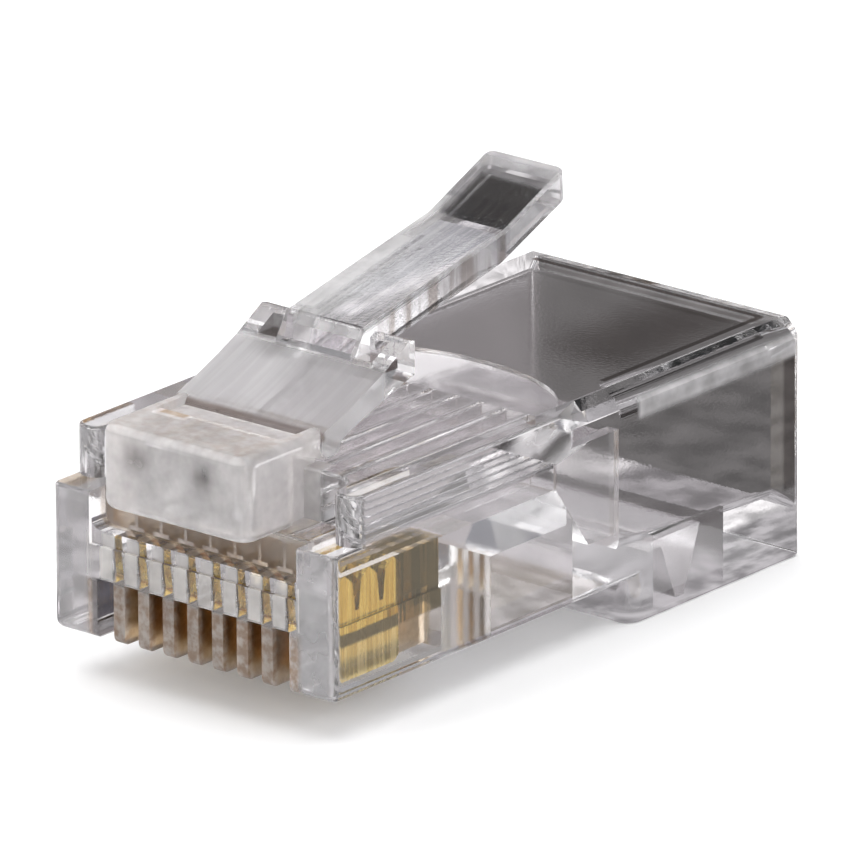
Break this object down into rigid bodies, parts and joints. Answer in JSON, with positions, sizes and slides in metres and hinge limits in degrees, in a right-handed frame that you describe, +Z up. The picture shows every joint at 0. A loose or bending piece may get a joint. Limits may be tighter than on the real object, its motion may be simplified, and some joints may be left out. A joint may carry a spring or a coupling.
{
  "type": "rj45 modular plug",
  "caption": "Clear modular data plug: stepped moulded housing, comb of gold contact blades, sprung latch with lever, and a cable cavity at the rear.",
  "frame": {"origin": "under the middle of the whole plug, on the plane that the cable end stands on", "axes": "+X across the plug, +Y from the nose to the cable end, +Z up towards the latch"},
  "size_m": [0.0116, 0.0244, 0.0141],
  "materials": {
    "clear_housing": "clear polycarbonate, polished, lightly frosted on the nose block",
    "clear_latch": "clear polycarbonate, polished",
    "gold_contact": "gold plated phosphor bronze, satin"
  },
  "bodies": {
    "housing": {"housing": "clear_housing", "contact_1": "gold_contact", "contact_2": "gold_contact", "contact_3": "gold_contact", "contact_4": "gold_contact", "contact_5": "gold_contact", "contact_6": "gold_contact", "contact_7": "gold_contact", "contact_8": "gold_contact"},
    "latch": {"latch": "clear_latch"}
  },
  "joints": [
    {"name": "latch_hinge", "type": "hinge", "parent": "housing", "child": "latch", "pos_m": [0, -0.00805, 0.00878], "axis": [-1, 0, 0], "range_deg": [0, 18], "stiffness_Nm_per_rad": 0.02}
  ]
}
